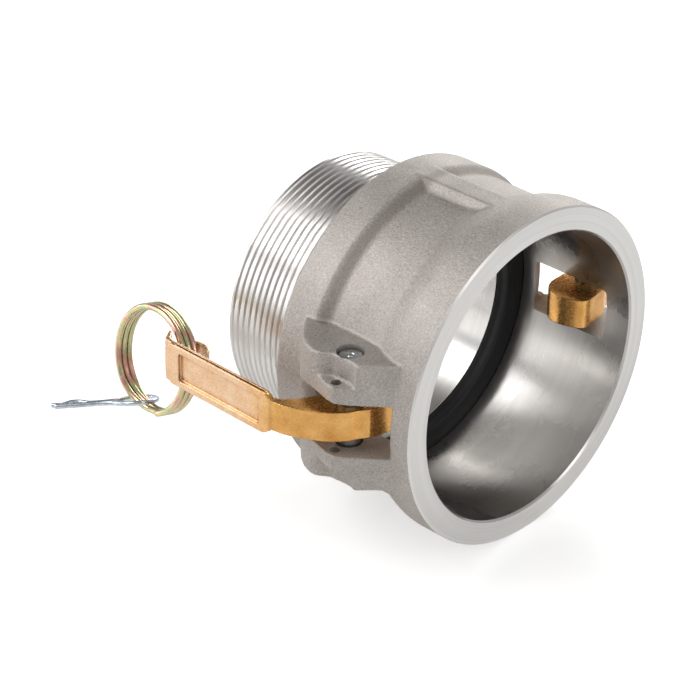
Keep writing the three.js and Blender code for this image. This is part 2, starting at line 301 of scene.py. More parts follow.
class Mat:
    def __init__(self, name):
        self.m = bpy.data.materials.new(name)
        self.m.use_nodes = True
        self.nt = self.m.node_tree
        self.nt.nodes.clear()
        self.out = self.nt.nodes.new("ShaderNodeOutputMaterial")
        self.p = self.nt.nodes.new("ShaderNodeBsdfPrincipled")
        self.nt.links.new(self.p.outputs[0], self.out.inputs[0])
        tc = self.nt.nodes.new("ShaderNodeTexCoord")
        self.mm = self.vmath("SCALE", tc.outputs["Object"], scale=1000.0)  # millimetres

    def node(self, kind, **kw):
        n = self.nt.nodes.new(kind)
        for k, v in kw.items():
            setattr(n, k, v)
        return n

    def put(self, sock, v):
        if isinstance(v, bpy.types.NodeSocket):
            self.nt.links.new(v, sock)
        elif v is not None:
            if isinstance(v, (tuple, list)) and len(v) == 3 and sock.type == "RGBA":
                v = (*v, 1.0)
            sock.default_value = v

    def vmath(self, op, a, b=None, scale=None):
        n = self.node("ShaderNodeVectorMath", operation=op)
        self.put(n.inputs[0], a)
        if b is not None:
            self.put(n.inputs[1], b)
        if scale is not None:
            self.put(n.inputs["Scale"], scale)
        return n.outputs["Value"] if op in ("LENGTH", "DOT_PRODUCT") else n.outputs[0]

    def math(self, op, a, b=None, c=None, clamp=False):
        n = self.node("ShaderNodeMath", operation=op, use_clamp=clamp)
        self.put(n.inputs[0], a)
        if b is not None:
            self.put(n.inputs[1], b)
        if c is not None:
            self.put(n.inputs[2], c)
        return n.outputs[0]

    def xyz(self, v):
        n = self.node("ShaderNodeSeparateXYZ")
        self.put(n.inputs[0], v)
        return n.outputs

    def vec(self, x, y, z):
        n = self.node("ShaderNodeCombineXYZ")
        for i, v in enumerate((x, y, z)):
            self.put(n.inputs[i], v)
        return n.outputs[0]

    def noise(self, scale, detail=3.0, rough=0.55, vec=None, dist=0.0):
        n = self.node("ShaderNodeTexNoise")
        self.put(n.inputs["Vector"], vec if vec is not None else self.mm)
        n.inputs["Scale"].default_value = scale
        n.inputs["Detail"].default_value = detail
        n.inputs["Roughness"].default_value = rough
        n.inputs["Distortion"].default_value = dist
        return n.outputs["Fac"]

    def voronoi(self, scale, vec=None, feature="F1"):
        n = self.node("ShaderNodeTexVoronoi", feature=feature)
        self.put(n.inputs["Vector"], vec if vec is not None else self.mm)
        n.inputs["Scale"].default_value = scale
        return n.outputs["Distance"]

    def ramp(self, fac, stops, interp="LINEAR"):
        n = self.node("ShaderNodeValToRGB")
        n.color_ramp.interpolation = interp
        e = n.color_ramp.elements
        while len(e) < len(stops):
            e.new(0.5)
        for k, (pos, col) in enumerate(stops):
            e[k].position = pos
            e[k].color = (*col, 1.0) if len(col) == 3 else col
        self.put(n.inputs[0], fac)
        return n.outputs[0]

    def mapr(self, v, a0, a1, b0, b1):
        n = self.node("ShaderNodeMapRange")
        self.put(n.inputs[0], v)
        for i, q in enumerate((a0, a1, b0, b1)):
            self.put(n.inputs[i + 1], q)
        return n.outputs[0]

    def mix(self, fac, a, b, blend="MIX"):
        n = self.node("ShaderNodeMix", data_type="RGBA", blend_type=blend)
        self.put(n.inputs[0], fac)
        self.put(n.inputs[6], a)
        self.put(n.inputs[7], b)
        return n.outputs[2]

    def bump(self, height, dist_mm, strength=1.0, normal=None):
        n = self.node("ShaderNodeBump")
        self.put(n.inputs["Height"], height)
        n.inputs["Distance"].default_value = dist_mm / 1000.0
        n.inputs["Strength"].default_value = strength
        if normal is not None:
            self.put(n.inputs["Normal"], normal)
        return n.outputs[0]

    def ao(self, dist_mm):
        n = self.node("ShaderNodeAmbientOcclusion", samples=6)
        n.inputs["Distance"].default_value = dist_mm / 1000.0
        return n.outputs["AO"]

    def facing(self, blend=0.5):
        n = self.node("ShaderNodeLayerWeight")
        n.inputs["Blend"].default_value = blend
        return n.outputs["Facing"]

    def set(self, **kw):
        for k, v in kw.items():
            self.put(self.p.inputs[k.replace("_", " ")], v)
        return self.m


def mat_cast():
    m = Mat("cast_aluminium_skin")
    fine = m.noise(2.1, 4.0, 0.65)
    speck = m.noise(1.25, 3.0, 0.75)
    mid = m.noise(0.5, 3.0, 0.6)
    big = m.noise(0.045, 3.0, 0.55)
    grit = m.voronoi(1.35)
    tone = m.math("ADD", m.math("MULTIPLY", fine, 0.30), m.math("ADD", m.math("MULTIPLY", speck, 0.52), m.math("MULTIPLY", big, 0.18)))
    col = m.ramp(tone, [(0.34, (0.230, 0.205, 0.187)), (0.45, (0.445, 0.408, 0.378)), (0.54, (0.548, 0.505, 0.472)), (0.67, (0.80, 0.765, 0.73))])
    cx, cy_, cz = m.xyz(m.mm)[:3]
    rr = m.math("SQRT", m.math("ADD", m.math("MULTIPLY", cy_, cy_), m.math("MULTIPLY", cz, cz)))
    # painted shade: a dark band painted into the crease where the panel steps up to the collar, below r 69
    crease_shade = m.mapr(m.math("ABSOLUTE", m.math("SUBTRACT", cx, MX - 53.6)), 1.2, 3.6, 1.0, 0.0)
    crease_shade = m.math("MULTIPLY", crease_shade, m.mapr(rr, 68.6, 69.4, 1.0, 0.0))
    col = m.mix(m.math("MULTIPLY", crease_shade, 0.50), col, (0.20, 0.17, 0.15))
    pits = m.mapr(grit, 0.06, 0.26, 0.0, 1.0)
    col = m.mix(m.math("MULTIPLY", m.math("SUBTRACT", 1.0, pits), 0.42), col, (0.20, 0.185, 0.17))
    # painted shade: the colour is darkened toward dark grey where ambient occlusion finds corners and crevices
    ao = m.ao(4.0)
    col = m.mix(m.mapr(ao, 0.2, 0.9, 0.5, 0.0), col, (0.15, 0.13, 0.12))
    b = m.bump(mid, 0.45, 0.30)
    b = m.bump(speck, 0.34, 0.60, b)
    b = m.bump(fine, 0.14, 0.50, b)
    b = m.bump(pits, 0.10, 0.45, b)
    rough = m.mapr(speck, 0.3, 0.7, 0.46, 0.64)
    return m.set(Base_Color=col, Metallic=0.72, Roughness=rough, Normal=b)


def mat_machined(name, rough=0.2, tint=(0.80, 0.79, 0.775), lines=1.0, aniso=0.6):
    m = Mat(name)
    x, y, z = m.xyz(m.mm)[:3]
    r = m.math("SQRT", m.math("ADD", m.math("MULTIPLY", y, y), m.math("MULTIPLY", z, z)))
    ang = m.math("ARCTAN2", y, z)
    fine = m.noise(1.0, 3.0, 0.7, m.vec(m.math("MULTIPLY", x, 3.2), m.math("MULTIPLY", r, 3.2), m.math("MULTIPLY", ang, 0.35)))
    broad = m.noise(1.0, 2.0, 0.5, m.vec(m.math("MULTIPLY", x, 0.35), m.math("MULTIPLY", r, 0.35), m.math("MULTIPLY", ang, 0.6)))
    smear = m.noise(0.05, 3.0, 0.5)
    tone = m.math("ADD", m.math("MULTIPLY", fine, 0.6), m.math("MULTIPLY", broad, 0.4))
    lo = tuple(c * (1 - 0.20 * lines) for c in tint)
    hi = tuple(min(1.0, c * (1 + 0.12 * lines)) for c in tint)
    col = m.ramp(tone, [(0.33, lo), (0.5, tint), (0.68, hi)])
    ro = m.math("ADD", m.mapr(tone, 0.3, 0.7, rough * (1 + 0.25 * lines), rough * (1 - 0.2 * lines)), m.mapr(smear, 0.35, 0.65, -0.03, 0.05))
    b = m.bump(fine, 0.012 * lines, 0.6)
    t = m.node("ShaderNodeTangent", direction_type="RADIAL", axis="X")
    return m.set(Base_Color=col, Metallic=1.0, Roughness=ro, Normal=b, Anisotropic=aniso, Anisotropic_Rotation=0.25, Tangent=t.outputs[0])


def mat_brass():
    m = Mat("forged_brass")
    x = m.xyz(m.mm)[0]
    big = m.noise(0.14, 2.0, 0.5)
    mid = m.noise(0.75, 3.0, 0.6)
    fine = m.noise(3.0, 3.0, 0.6)
    tone = m.math("ADD", m.math("MULTIPLY", big, 0.56), m.math("ADD", m.math("MULTIPLY", mid, 0.22), m.math("MULTIPLY", fine, 0.22)))
    col = m.ramp(tone, [(0.34, (0.66, 0.31, 0.08)), (0.46, (0.80, 0.42, 0.125)), (0.56, (0.88, 0.485, 0.16)), (0.70, (0.96, 0.57, 0.22))])
    # painted highlight: the brass is made paler toward the handle end, standing in for the bright reflection on its
    # flat face
    handle_highlight = m.ramp(tone, [(0.34, (0.84, 0.53, 0.31)), (0.46, (0.93, 0.63, 0.41)), (0.56, (0.97, 0.69, 0.48)), (0.70, (1.0, 0.77, 0.57))])
    col = m.mix(m.mapr(x, 12.0, 30.0, 0.85, 0.0), col, handle_highlight)
    dots = m.mapr(m.voronoi(0.55), 0.03, 0.10, 1.0, 0.0)
    col = m.mix(m.math("MULTIPLY", dots, 0.55), col, (0.22, 0.08, 0.015))
    # painted shade: the colour is darkened toward near-black brown where ambient occlusion finds crevices and the slot
    ao = m.ao(2.6)
    col = m.mix(m.mapr(ao, 0.30, 0.95, 0.92, 0.0), col, (0.12, 0.04, 0.008))
    b = m.bump(big, 0.5, 0.18)
    b = m.bump(mid, 0.06, 0.30, b)
    b = m.bump(fine, 0.025, 0.40, b)
    b = m.bump(dots, 0.06, 0.5, b)
    rough = m.mapr(mid, 0.3, 0.7, 0.20, 0.34)
    return m.set(Base_Color=col, Metallic=1.0, Roughness=rough, Normal=b)


def mat_yellow_zinc():
    m = Mat("yellow_zinc_wire")
    n1 = m.noise(0.11, 2.0, 0.5)
    n2 = m.noise(0.6, 2.0, 0.5)
    f = m.facing(0.45)
    t = m.math("ADD", m.math("MULTIPLY", f, 0.55), m.math("ADD", m.math("MULTIPLY", n1, 2.1), m.math("MULTIPLY", n2, 0.3)))
    t = m.math("FRACT", m.math("MULTIPLY", t, 1.15))
    col = m.ramp(t, [(0.0, (0.88, 0.68, 0.46)), (0.22, (0.86, 0.50, 0.42)), (0.42, (0.78, 0.44, 0.38)), (0.60, (0.86, 0.64, 0.38)),
                     (0.78, (0.58, 0.64, 0.34)), (0.88, (0.50, 0.60, 0.36)), (1.0, (0.88, 0.68, 0.46))])
    b = m.bump(m.noise(2.2, 2.0, 0.5), 0.02, 0.4)
    # painted shade: the colour is darkened toward near-black where the turns of the ring crowd together
    ao = m.ao(1.6)
    col = m.mix(m.mapr(ao, 0.2, 0.9, 0.7, 0.0), col, (0.05, 0.035, 0.02))
    return m.set(Base_Color=col, Metallic=1.0, Roughness=m.mapr(n2, 0.3, 0.7, 0.16, 0.28), Normal=b)


def mat_blue_zinc():
    m = Mat("blue_zinc_wire")
    n = m.noise(0.5, 3.0, 0.55)
    col = m.ramp(n, [(0.35, (0.50, 0.56, 0.62)), (0.55, (0.68, 0.75, 0.82)), (0.7, (0.82, 0.87, 0.92))])
    b = m.bump(m.noise(2.6, 3.0, 0.6), 0.03, 0.5)
    return m.set(Base_Color=col, Metallic=1.0, Roughness=m.mapr(n, 0.3, 0.7, 0.3, 0.18), Normal=b)


def mat_rubber():
    m = Mat("gasket_rubber")
    n = m.noise(1.2, 4.0, 0.6)
    col = m.ramp(n, [(0.35, (0.004, 0.004, 0.0045)), (0.65, (0.010, 0.010, 0.011))])
    b = m.bump(n, 0.04, 0.4)
    return m.set(Base_Color=col, Metallic=0.0, Roughness=m.mapr(n, 0.3, 0.7, 0.48, 0.62), Specular_IOR_Level=0.28, Normal=b)


def mat_pin():
    m = Mat("plated_pin_steel")
    n = m.noise(0.9, 3.0, 0.55)
    col = m.ramp(n, [(0.35, (0.44, 0.46, 0.47)), (0.6, (0.66, 0.69, 0.70))])
    b = m.bump(m.noise(1.4, 3.0, 0.6), 0.02, 0.35)
    return m.set(Base_Color=col, Metallic=1.0, Roughness=m.mapr(n, 0.3, 0.7, 0.40, 0.28), Normal=b)


CAST = mat_cast()
# one turned aluminium in lit and shaded copies: turned_socket has a darker tint, painted shade inside the socket and
# waterway; turned_face has a brighter tint, painted light on the mouth face; turned_thread sits between
BORE = mat_machined("turned_socket", rough=0.27, tint=(0.65, 0.632, 0.612), lines=0.35, aniso=0.45)
FACE = mat_machined("turned_face", rough=0.32, tint=(0.88, 0.862, 0.84), lines=0.6, aniso=0.3)
THREAD = mat_machined("turned_thread", rough=0.29, tint=(0.76, 0.738, 0.715), lines=0.7, aniso=0.4)
BRASS, RUBBER, PINM = mat_brass(), mat_rubber(), mat_pin()
YZ, BZ = mat_yellow_zinc(), mat_blue_zinc()

# ------------------------------------------------------------------------------------------ casting

R_FLANGE, R_FACE, R_BORE, R_MOUTH = 70.6, 69.9, 60.3, 61.0
R_PANEL, R_COLLAR, R_WATER, R_GROOVE = 65.9, 68.6, 51.0, 62.3
SLOT_HALF, LUG_LEDGE, LUG_TOP = 11.3, 18.0, 27.4

solid = revolve("solid", [
    (2.5, 0), (2.5, R_FLANGE), (-13, R_FLANGE), (-15.5, 70.3), (-18.5, 69.4), (-21.5, 68.2), (-25, 66.7), (-29, 66.05),
    (-34, R_PANEL), (-50.8, R_PANEL), (-52.2, 66.3), (-54.6, 67.4), (-57.2, R_COLLAR), (-71.4, R_COLLAR), (-72.6, 67.6), (-72.6, 0)], 256)
rib_poly = [(-8.4, 58), (8.4, 58), (8.2, 65.5), (4.9, 68.75), (-4.9, 68.75), (-8.2, 65.5)]
verts = [(-60.0, y, z) for y, z in rib_poly] + [(-13.5, y, z) for y, z in rib_poly]
rib = new_obj("rib", verts, [tuple(range(5, -1, -1)), tuple(range(6, 12))] + [(i, (i + 1) % 6, 6 + (i + 1) % 6, 6 + i) for i in range(6)])
rib2 = mirrored(rib, 2, "rib2")
boolean(solid, rib, "UNION")
boolean(solid, rib2, "UNION")

foot0 = [(-62, -66), (-56, -71.6), (-50, -78), (-44, -79.8), (-37.3, -81.2), (-31.5, -82.8), (-27.2, -83.2), (-24.5, -81.8), (-20.5, -78.8), (-15, -74),
         (-9.8, -69.4), (-9.8, -50), (-62, -50)]
foot1 = [(-61, -65.6), (-55.5, -71.8), (-50.4, -76.8), (-44.2, -79.3), (-38.4, -80.0), (-31.8, -82.2), (-27.6, -82.8), (-24.9, -81.2), (-20.9, -78.0), (-15.4, -73.0),
         (-10.1, -68.4), (-10.1, -50), (-61, -50)]
head0 = [(-60.9, -65.3), (-57.4, -69.3), (-54.6, -72.6), (-51.4, -75.8), (-46.6, -78.4), (-42.3, -79.7), (-38.9, -80.0), (-36.9, -78.7), (-34.3, -76.6), (-30.8, -76.5),
         (-27, -76.1), (-23.2, -77.0), (-21.2, -78.0), (-19.8, -76.8), (-16.5, -73.7), (-13.4, -71.0), (-10.2, -68.2), (-10.2, -50), (-60.9, -50)]
head1 = [(-60.5, -64.5), (-57.2, -68.5), (-54.7, -71.6), (-51.9, -74.8), (-46.8, -78.2), (-42.5, -79.6), (-39.2, -79.7), (-37.0, -78.3), (-34.4, -76.3), (-30.8, -76.2),
         (-27, -75.7), (-23.4, -76.0), (-21.5, -76.7), (-20.0, -75.1), (-17, -71.9), (-14.1, -69.1), (-10.5, -65.9), (-10.5, -50), (-60.5, -50)]
lug = loft("lug", foot0, SLOT_HALF - 1.5, foot1, LUG_LEDGE)
boolean(lug, loft("lug_head", head0, LUG_LEDGE - 1.0, head1, LUG_TOP), "UNION")
for k, (mz, my) in enumerate(((0, 0), (1, 0), (0, 1), (1, 1))):
    c = lug.copy()
    c.data = lug.data.copy()
    scene.collection.objects.link(c)
    if mz:
        q = mirrored(c, 2, "q")
        bpy.data.objects.remove(c)
        c = q
    if my:
        q = mirrored(c, 1, "q")
        bpy.data.objects.remove(c)
        c = q
    boolean(solid, c, "UNION")
bpy.data.objects.remove(lug)

cx, cy = PIN["x"], -PIN["r"]
pocket = [(-15.2, -46), (PIN["x"], -46), (PIN["x"], -50.0)]
pocket = [(-15.2, -46), (PIN["x"], -46)]
for i in range(21):
    t = math.pi / 2 + (math.pi / 2) * i / 20
    pocket.append((cx + 21.7 * math.cos(t), cy + 21.7 * math.sin(t)))
pocket += [(-56.5, -73.0), (-66, -73.0), (-66, -100), (-8.6, -100), (-8.6, -72.5), (-10.0, -69.8)]
slot = prism("slot", pocket, -SLOT_HALF, SLOT_HALF)
slot2 = mirrored(slot, 1, "slot2")
boolean(solid, slot, "DIFFERENCE")
boolean(solid, slot2, "DIFFERENCE")
remesh(solid, 0.64, 5, 0.5)

# machined cuts: mouth face, socket, gasket groove, waterway
inner = [(20, 0), (20, 95), (-0.9, 95), (-0.9, 70.75), (0.0, R_FACE), (0.0, R_MOUTH), (-0.8, R_BORE), (-56.2, R_BORE),
         (-56.2, R_GROOVE), (-63.2, R_GROOVE), (-63.2, R_WATER), (-90, R_WATER), (-90, 0)]
boolean(solid, revolve("inner", inner, 288), "DIFFERENCE")
for s in (-1, 1):
    for cut in (prism("c", circle(PIN["x"], s * PIN["r"], 5.45, 64), -60, 60),
                prism("c", circle(SAFETY[0], s * SAFETY[1], 2.0, 22, 0.25, 3), 0, 60),
                prism("c", circle(SAFETY[0], s * SAFETY[1], 2.0, 22, 0.25, 5), -60, 0)):
        boolean(solid, cut, "DIFFERENCE")

# which faces are turned
me = solid.data
co = co_of(me)
n_poly = len(me.polygons)
cen = np.empty(n_poly * 3)
nor = np.empty(n_poly * 3)
me.polygons.foreach_get("center", cen)
me.polygons.foreach_get("normal", nor)
cen, nor = cen.reshape(-1, 3), nor.reshape(-1, 3)
rr = np.hypot(cen[:, 1], cen[:, 2])
rad = np.stack([cen[:, 1], cen[:, 2]], 1) / np.maximum(rr, 1e-6)[:, None]
nr = nor[:, 1] * rad[:, 0] + nor[:, 2] * rad[:, 1]
idx = np.zeros(n_poly, int)
bore = ((nr < -0.8) & (rr < 62.6)) | ((rr < 62.6) & (np.abs(nor[:, 0]) > 0.98) & (cen[:, 0] < -50)) | ((rr < 61.2) & (cen[:, 0] > -1.2))
idx[bore] = 1
idx[(cen[:, 0] > -0.95) & (nor[:, 0] > 0.5) & (rr > 60.9)] = 2
me.polygons.foreach_set("material_index", idx)
shade(solid, 38)
# exact normals on the round turned walls, so reflections run clean
me = solid.data
lv = np.empty(len(me.loops), int)
me.loops.foreach_get("vertex_index", lv)
starts = np.empty(n_poly, int)
totals = np.empty(n_poly, int)
me.polygons.foreach_get("loop_start", starts)
me.polygons.foreach_get("loop_total", totals)
loop_poly = np.repeat(np.arange(n_poly), totals)
co = co_of(me)
nl = np.zeros((len(me.loops), 3))
wall = (idx == 1) & (np.abs(nor[:, 0]) < 0.05) & (nr < -0.9)
sel = wall[loop_poly]
v = co[lv[sel]]
q = np.hypot(v[:, 1], v[:, 2])
nl[sel] = np.stack([np.zeros(len(q)), -v[:, 1] / q, -v[:, 2] / q], 1)
flat = (idx > 0) & (np.abs(nor[:, 0]) > 0.98)
sel = flat[loop_poly]
nl[sel] = np.stack([np.sign(nor[loop_poly[sel], 0]), np.zeros(sel.sum()), np.zeros(sel.sum())], 1)
me.normals_split_custom_set([tuple(a) for a in nl])
finish_piece(solid, "coupler_casting", "shell", ["body"], [CAST, BORE, FACE])

# ------------------------------------------------------------------------------------------ threaded tail

PITCH, DEPTH = 3.175, 0.8
seg_a, n_per = 240, 20
xs = list(np.arange(-112.5, -76.0, PITCH / n_per)) + [-76.0, -74.6, -73.4, -72.4]
verts, faces = [], []


def crest(x):
    return 57.2 - (57.2 - 56.5) * (-78.0 - x) / 34.5


def thread_r(x, a):
    """radius of the tail at x and angle a"""
    if x > -76.05:
        return 55.4
    ph = ((x - PITCH * a / (2 * math.pi)) / PITCH) % 1.0
    # flat crest, two flanks, narrow root
    if ph < 0.60:
        d = 0.0
    elif ph < 0.77:
        d = (ph - 0.60) / 0.17
    elif ph < 0.83:
        d = 1.0
    else:
        d = (1.0 - ph) / 0.17
    run = min(1.0, max(0.0, (-76.0 - x) / 1.0))
    r = crest(x) - DEPTH * d
    r = min(r, 55.4 + (crest(x) - 55.4) * run)
    return min(r, 54.9 + (x + 112.5) * 1.0 + 0.0) if x < -110.3 else r


for x in xs:
    for k in range(seg_a):
        a = 2 * math.pi * k / seg_a
        r = thread_r(x, a)
        verts.append((x, r * math.sin(a), r * math.cos(a)))
n_rows = len(xs)
for ring_x, ring_r in ((-72.4, 51.0), (-111.7, 51.0), (-112.5, 51.8)):
    for k in range(seg_a):
        a = 2 * math.pi * k / seg_a
        verts.append((ring_x, ring_r * math.sin(a), ring_r * math.cos(a)))
rows = list(range(n_rows)) + [n_rows, n_rows + 1, n_rows + 2]
for i in range(len(rows)):
    a, b = rows[i], rows[(i + 1) % len(rows)]
    for k in range(seg_a):
        j = (k + 1) % seg_a
        faces.append((a * seg_a + k, a * seg_a + j, b * seg_a + j, b * seg_a + k))
tail = new_obj("tail", verts, faces)
# inner faces take the darker turned_socket copy, painted shade inside the waterway
for poly in tail.data.polygons:
    if math.hypot(poly.center[1], poly.center[2]) < 51.2:
        poly.material_index = 1
shade(tail, 24)
finish_piece(tail, "threaded_tail", "shell", ["body"], [THREAD, BORE])

# ------------------------------------------------------------------------------------------ gasket

g = revolve("gasket_ring", [
    (-56.5, 51.4), (-56.45, 52.2), (-56.7, 53.2), (-56.7, 57.4), (-56.45, 58.4), (-56.5, 61.0), (-56.9, 61.8), (-62.5, 61.8), (-62.85, 61.4),
    (-62.85, 51.2), (-62.5, 50.85), (-61.2, 50.75), (-60.6, 50.95), (-59.2, 50.95), (-58.6, 50.75), (-57.0, 50.85)], 220)
shade(g, 40)
finish_piece(g, "socket_gasket", "shell", ["gasket"], [RUBBER])

# ------------------------------------------------------------------------------------------ pivot pins

for s, side in ((-1, "left"), (1, "right")):
    h, r = 25.95, PIN["rad"]
    prof = [(-h, 0), (-h, 1.0), (-h + 0.35, 1.3), (-h, 1.7), (-h, r - 0.7), (-h + 0.2, r - 0.25), (-h + 0.7, r), (h - 0.7, r), (h - 0.2, r - 0.25), (h, r - 0.7),
            (h, 1.7), (h - 0.35, 1.3), (h, 1.0), (h, 0)]
    p = revolve("pin", prof, 64)
    p.data.transform(Matrix.Translation((PIN["x"], s * PIN["r"], 0)) @ Matrix.Rotation(math.pi / 2, 4, "Y"))
    shade(p, 30)
    finish_piece(p, "pin_" + side, "shell", ["pivot_pin_" + side], [PINM])

# ------------------------------------------------------------------------------------------ cam arms

HUB = [(-57, 93), (-50.6, 92.2), (-45, 91.2), (-39, 88.6), (-32.5, 84.9), (-29.2, 82.3), (-26.6, 79.6), (-24.2, 76.4), (-22.6, 72.8), (-20.6, 69.8),
       (-19.9, 67.2), (-19.3, 64.4), (-18.5, 60.5), (-18.0, 56.8), (-18.3, 54.3), (-20.0, 52.4), (-23.4, 50.8), (-27.0, 49.7), (-30.6, 49.6), (-34.2, 50.7),
       (-37.2, 53.2), (-39.0, 56.6), (-39.7, 60), (-40.2, 68), (-40.8, 73), (-42.4, 78), (-44.6, 82.4), (-47.4, 86), (-50.6, 88.8), (-57, 90.3)]


def ym(poly):
    return [(x, -r) for x, r in poly]


def build_arm():
    hub = smooth_loop(HUB, 0.9)
    a = prism("arm", ym(hub), -ARM_HALF, ARM_HALF)
    # handle plate, a fine groove along each long edge, and the lip curled in at the tip
    parts = [
        ([(-104, 93.0), (-51.2, 93.0), (-50.6, 92.3), (-104, 92.3)], 9.0),
        ([(-104, 92.5), (-51.0, 92.5), (-51.0, 91.1), (-104, 91.1)], 8.0),
        ([(-104, 91.35), (-50.8, 91.35), (-51.6, HANDLE_IN), (-104, HANDLE_IN)], 9.0),
        ([(-103.5, 93.0), (-108.0, 93.0), (-109.2, 92.7), (-110.0, 91.9), (-111.0, 90.3), (-113.6, 86.5), (-113.1, 86.0), (-112.2, 86.1), (-109.4, 89.4), (-107.2, HANDLE_IN), (-103.5, HANDLE_IN)], 9.0),
    ]
    for poly, half in parts:
        boolean(a, prism("c", ym(poly), -half, half), "UNION")
    boolean(a, prism("c", circle(EYE["x"], -EYE["r"], EYE["rad"], 64), -EYE["half"], EYE["half"]), "UNION")
    boolean(a, prism("c", ym([(-110.6, 91), (-113.0, 83.3), (-98.2, 83.3), (-95.6, 91)]), -EYE["half"], EYE["half"]), "UNION")
    boolean(a, prism("c", circle(EYE["x"], -EYE["r"], EYE["hole"], 64), -20, 20), "DIFFERENCE")
    # blank label recess with rounded corners
    boolean(a, prism_y("c", rounded(-101.5, -56.5, -6.2, 6.2, 1.3), -95, -91.62), "DIFFERENCE")
    for sz in (-1, 1):
        corner = [(-116, 12), (-116, 5.4), (-108.4, 5.4), (-108.0, 6.8), (-107.2, 8.0), (-106.0, 8.8), (-104.6, 9.1), (-104.6, 12)]
        boolean(a, prism_y("c", [(x, sz * z) for x, z in corner], -95, -91.9), "DIFFERENCE")
        root = [(-55.5, 12), (-55.5, 9.02), (-53.4, 8.75), (-52.0, 8.1), (-51.0, 7.2), (-50.2, 6.45), (-48.5, 6.4), (-48.5, 12)]
        boolean(a, prism_y("c", [(x - (0.8 if sz < 0 and z > 7 else 0.0), sz * z) for x, z in root], -95, -88), "DIFFERENCE")
    boolean(a, prism("c", circle(PIN["x"], -PIN["r"], 5.15, 48), -20, 20), "DIFFERENCE")
    remesh(a, 0.27, 2, 0.5)
    return a


arm = build_arm()
arm_r = mirrored(arm, 1, "arm_r")
for ob, side in ((arm, "left"), (arm_r, "right")):
    shade(ob, 60)
    finish_piece(ob, "lever_" + side, "arm_" + side, ["cam_arm_" + side], [BRASS])

# ------------------------------------------------------------------------------------------ wires


def tube(name, pts, rad, sides=14, cap_round=True, ups=None):
    P = [np.array(p, float) for p in pts]
    n = len(P)
    T = []
    for i in range(n):
        t = P[min(i + 1, n - 1)] - P[max(i - 1, 0)]
        T.append(t / np.linalg.norm(t))
    u = np.cross(T[0], (0.1, 0.2, 1.0))
    u /= np.linalg.norm(u)
    verts, rings = [], []

    def ring(c, t, u, r):
        w = np.cross(t, u)
        rings.append(len(verts))
        for k in range(sides):
            a = 2 * math.pi * k / sides
            verts.append(c + r * (math.cos(a) * u + math.sin(a) * w))

    for i in range(n):
        u = u - T[i] * np.dot(u, T[i])
        u /= np.linalg.norm(u)
        if i == 0 and cap_round:
            ring(P[0] - T[0] * rad * 0.30, T[0], u, rad * 0.72)
            ring(P[0] - T[0] * rad * 0.12, T[0], u, rad * 0.93)
        ring(P[i], T[i], u, rad)
        if i == n - 1 and cap_round:
            ring(P[i] + T[i] * rad * 0.12, T[i], u, rad * 0.93)
            ring(P[i] + T[i] * rad * 0.30, T[i], u, rad * 0.72)
    faces = []
    for a, b in zip(rings, rings[1:]):
        for k in range(sides):
            j = (k + 1) % sides
            faces.append((a + k, a + j, b + j, b + k))
    faces.append(tuple(range(rings[0] + sides - 1, rings[0] - 1, -1)))
    faces.append(tuple(range(rings[-1], rings[-1] + sides)))
    return new_obj(name, verts, faces)


yaw, tilt = math.radians(RING["yaw"]), math.radians(RING["tilt"])
H = np.array([math.cos(yaw), math.sin(yaw), 0.0])
N = np.array([-math.sin(yaw) * math.cos(tilt), math.cos(yaw) * math.cos(tilt), math.sin(tilt)])
V = np.cross(H, N)
RC = np.array(RING["centre"])


def build_ring():
    # three turns: the near turn lies flat, each next one steps back by one wire
    turns, a0 = 3.0, math.radians(-66)
    n = int(150 * turns)
    pts = []
    for i in range(n + 1):
        q = turns * i / n
        k = min(2, int(q))
        f = q - k
        step = 0.0 if f < 0.80 else (f - 0.80) / 0.20
        step = step * step * (3 - 2 * step)
        off = RING["pitch"] * (min(2.0, k + (step if k < 2 else 0.0)) - 1.0)
        a = a0 + 2 * math.pi * q * 0.985
        pts.append(RC + RING["rmean"] * (H * math.cos(a) + V * math.sin(a)) + N * off)
    return tube("ring", pts, RING["wire"], 16)


ring = build_ring()
ring_r = mirrored(ring, 1, "ring_r")
for ob, side in ((ring, "left"), (ring_r, "right")):
    shade(ob, 50)
    finish_piece(ob, "split_ring_" + side, "ring_" + side, ["pull_ring_" + side], [YZ])

ca = math.radians(CLIP["ang"])
CO = RC + RING["rmean"] * (H * math.cos(ca) + V * math.sin(ca))
CD = np.array(CLIP["dir"])
CD = CD / np.linalg.norm(CD)
CN = np.array(CLIP["up"])
CN = CN - CD * np.dot(CN, CD)
CN /= np.linalg.norm(CN)
CE = np.cross(CN, CD)
CLIP_PATH = [(34, 0.9, 0), (24, 1.2, 0), (16, 1.3, 0), (11, 2.2, 0), (7.5, 5.0, 0), (3.6, 7.2, 0), (-0.6, 7.4, 0), (-4.6, 5.4, 0), (-6.6, 1.9, 0), (-6.6, -1.9, 0), (-4.6, -5.4, 0),
             (-0.6, -7.4, 0), (3.6, -7.2, 0), (7.5, -5.0, 0), (11, -2.2, 0), (16, -1.2, 0), (21, -1.3, 0.1), (24.5, -2.5, 0.6), (28, -2.6, 0.7), (30.5, -1.5, 0.2), (32.5, -1.6, 0),
             (35.8, -3.0, 0)]


def build_clip():
    pts = smooth_loop([CO + CD * a + CE * b + CN * c for a, b, c in CLIP_PATH], 0.7, closed=False)
    return tube("clip", pts, CLIP["wire"], 14)


clip = build_clip()
clip_r = mirrored(clip, 1, "clip_r")
for ob, side in ((clip, "left"), (clip_r, "right")):
    shade(ob, 50)
    finish_piece(ob, "hairpin_" + side, "clip_" + side, ["safety_clip_" + side], [BZ])

# ------------------------------------------------------------------------------------------ floor, light, camera

